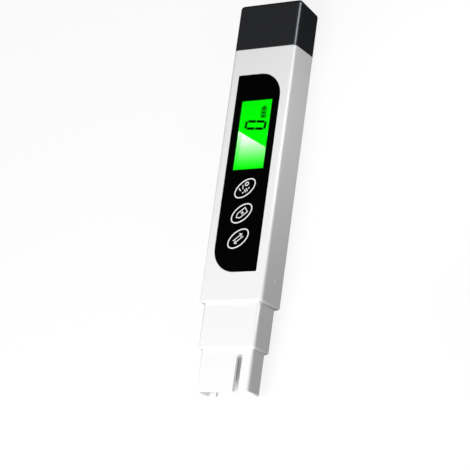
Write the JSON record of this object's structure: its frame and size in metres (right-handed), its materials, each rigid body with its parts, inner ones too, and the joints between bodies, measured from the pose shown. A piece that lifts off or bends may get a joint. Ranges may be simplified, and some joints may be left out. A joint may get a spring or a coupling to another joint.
{
  "type": "tds meter",
  "caption": "Pen-shaped water tester with a lit display and slanted oval keys in a dark panel, a pull-off battery cap and a stepped probe end with electrodes in an open chamber.",
  "frame": {"origin": "on the surface that the pen's back lies on, under the middle of its bounding box", "axes": "+Y along the pen from the probe to the battery cap, +Z out of the display, +X to the display's right when the cap is up"},
  "size_m": [0.0284, 0.1571, 0.0144],
  "materials": {
    "white_abs": "fine satin, injection moulded",
    "black_abs": "fine spark texture, injection moulded",
    "panel_film": "screen printed polycarbonate, gloss",
    "key_plastic": "satin black, printed",
    "window_plastic": "clear polycarbonate, polished",
    "tape": "clear acrylic adhesive",
    "switch_plastic": "glass filled nylon",
    "plunger_plastic": "nylon",
    "spring_steel": "bright spring steel",
    "solder_mask": "green solder mask on glass epoxy",
    "reflector": "white film",
    "light_guide": "milky acrylic, lit green",
    "polariser": "polarising film over the lit display",
    "lcd_glass": "soda lime glass",
    "frame_plastic": "moulded ABS",
    "zebra_rubber": "striped silicone",
    "led_plastic": "clear epoxy",
    "seal_rubber": "nitrile",
    "electrode_metal": "titanium alloy, ground",
    "sensor_steel": "stainless steel, drawn",
    "sensor_epoxy": "black epoxy",
    "solder": "tin solder",
    "resin": "cast epoxy",
    "tray_plastic": "black nylon",
    "cell_steel": "nickel plated steel",
    "contact_metal": "nickel plated phosphor bronze",
    "chip_epoxy": "moulded epoxy",
    "crystal_can": "drawn steel can",
    "chip_ceramic": "fired ceramic with tinned ends"
  },
  "bodies": {
    "meter_body": {"housing": "white_abs", "probe_holder": "white_abs", "graphic_overlay": "panel_film", "overlay_adhesive": "tape", "display_window": "window_plastic", "switch_bases": "switch_plastic", "switch_covers": "spring_steel", "switch_domes": "spring_steel", "circuit_board": "solder_mask", "reflector_film": "reflector", "light_guide": "light_guide", "lcd_rear_polariser": "polariser", "lcd_rear_glass": "lcd_glass", "lcd_front_glass": "lcd_glass", "lcd_front_polariser": "polariser", "lcd_frame": "frame_plastic", "zebra_strip": "zebra_rubber", "backlight_leds": "led_plastic", "probe_seal": "seal_rubber", "left_electrode": "electrode_metal", "right_electrode": "electrode_metal", "solder_joints": "solder", "sensor_sleeve": "sensor_steel", "sensor_bead": "sensor_epoxy", "sensor_leads": "solder", "potting_resin": "resin", "battery_tray": "tray_plastic", "inner_cell": "cell_steel", "outer_cell": "cell_steel", "link_contact": "contact_metal", "positive_contact": "contact_metal", "negative_contact": "contact_metal", "meter_chip": "chip_epoxy", "amplifier_chip": "chip_epoxy", "crystal": "crystal_can", "chip_capacitors": "chip_ceramic", "chip_resistors": "chip_ceramic"},
    "battery_cap": {"battery_cap": "black_abs"},
    "mode_button": {"mode_key": "key_plastic", "mode_plunger": "plunger_plastic"},
    "clear_button": {"clear_key": "key_plastic", "clear_plunger": "plunger_plastic"},
    "on_off_button": {"on_off_key": "key_plastic", "on_off_plunger": "plunger_plastic"}
  },
  "joints": [
    {"name": "battery_cap_pull", "type": "slide", "parent": "meter_body", "child": "battery_cap", "axis": [0, 1, 0], "range_m": [0, 0.028]},
    {"name": "mode_press", "type": "slide", "parent": "meter_body", "child": "mode_button", "axis": [0, 0, -1], "range_m": [0, 0.00025], "stiffness_N_per_m": 1500, "springref_m": -0.0004},
    {"name": "clear_press", "type": "slide", "parent": "meter_body", "child": "clear_button", "axis": [0, 0, -1], "range_m": [0, 0.00025], "stiffness_N_per_m": 1500, "springref_m": -0.0004},
    {"name": "on_off_press", "type": "slide", "parent": "meter_body", "child": "on_off_button", "axis": [0, 0, -1], "range_m": [0, 0.00025], "stiffness_N_per_m": 1500, "springref_m": -0.0004}
  ]
}
